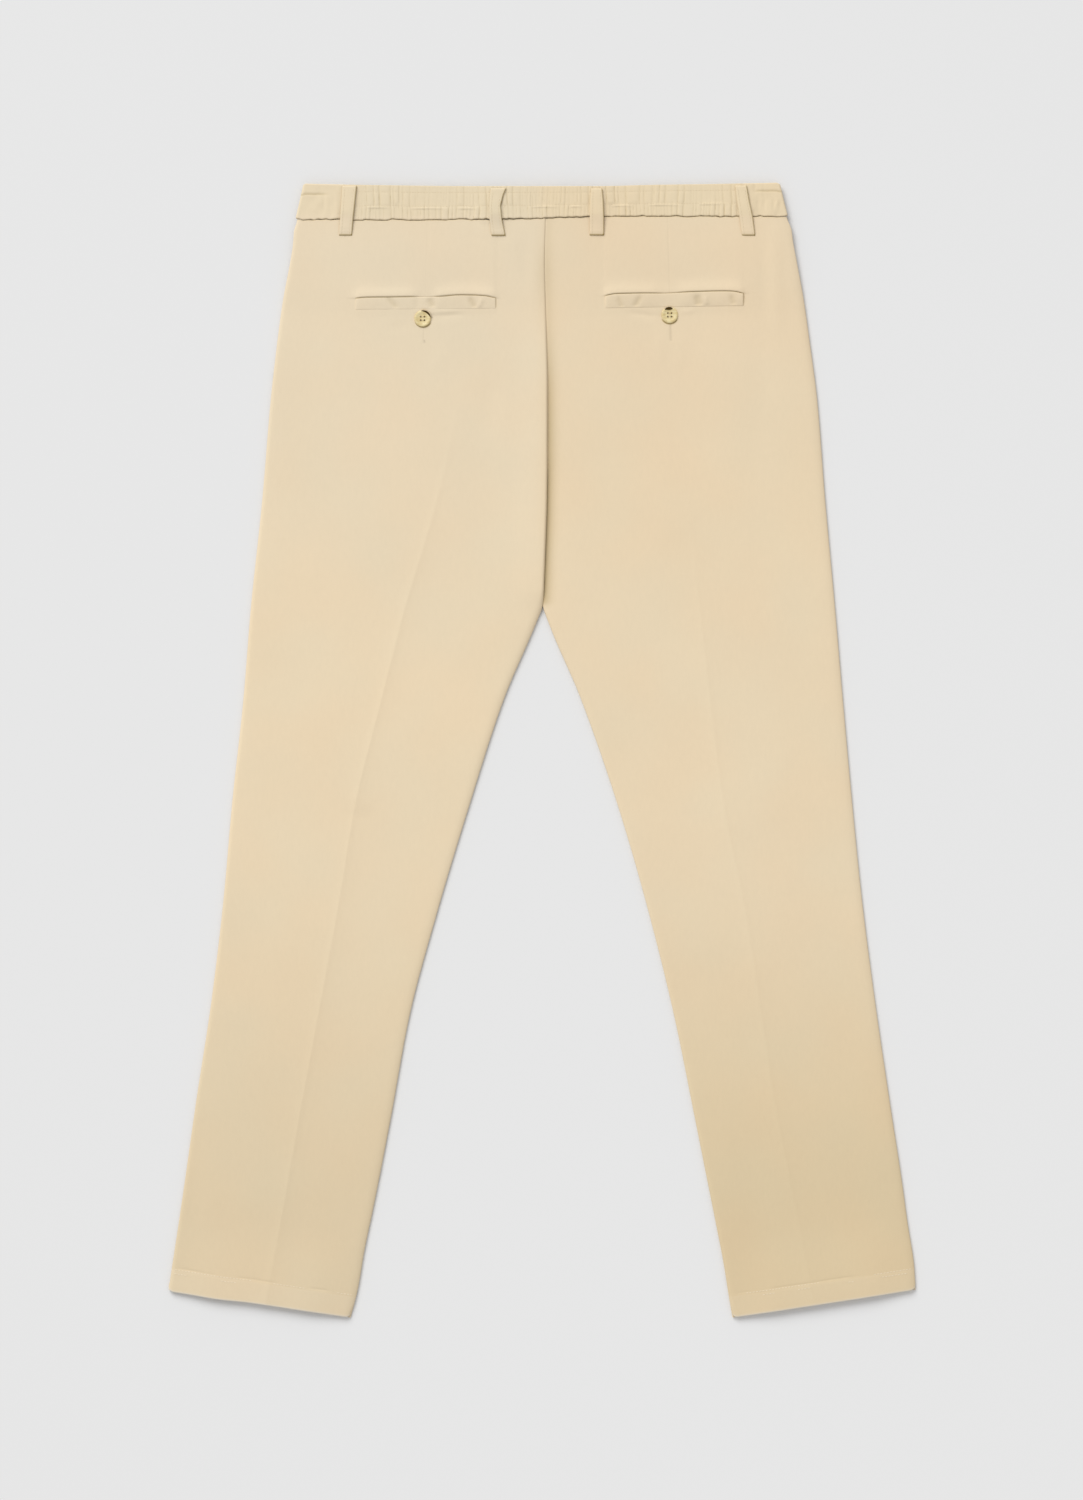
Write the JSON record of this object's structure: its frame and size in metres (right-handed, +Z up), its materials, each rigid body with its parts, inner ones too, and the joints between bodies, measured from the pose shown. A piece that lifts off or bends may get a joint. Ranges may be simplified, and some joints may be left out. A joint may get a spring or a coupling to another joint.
{
  "type": "chino trousers",
  "caption": "Beige cotton twill chino trousers, laid flat back side up, with a gathered elastic back waistband, belt loops, buttoned welt pockets and pressed creases.",
  "frame": {"origin": "On the surface that the trousers lie on, under the middle of their bounding box.", "axes": "+X goes to the wearer's right, +Y from the hems to the waist and +Z up, out of the back of the garment, which lies with its back side up."},
  "size_m": [0.69, 1.0452, 0.012],
  "materials": {
    "twill": "light beige cotton twill, matt with a slight nap",
    "gathered_twill": "the same twill gathered over wide elastic, with two rows of stitching",
    "horn": "yellowish horn-coloured resin, softly polished"
  },
  "bodies": {
    "root": {"back_left": "twill", "back_right": "twill", "front_left": "twill", "front_right": "twill", "pocket_facing_left": "twill", "pocket_facing_right": "twill", "welt_left": "twill", "welt_right": "twill", "waistband_front_left": "twill", "waistband_front_right": "twill", "loop_back_1": "twill", "loop_back_2": "twill", "loop_back_3": "twill", "loop_back_4": "twill", "loop_front_left": "twill", "loop_front_right": "twill", "waistband_back": "gathered_twill", "button_pocket_left": "horn", "button_pocket_right": "horn", "button_waist": "horn"}
  },
  "joints": []
}
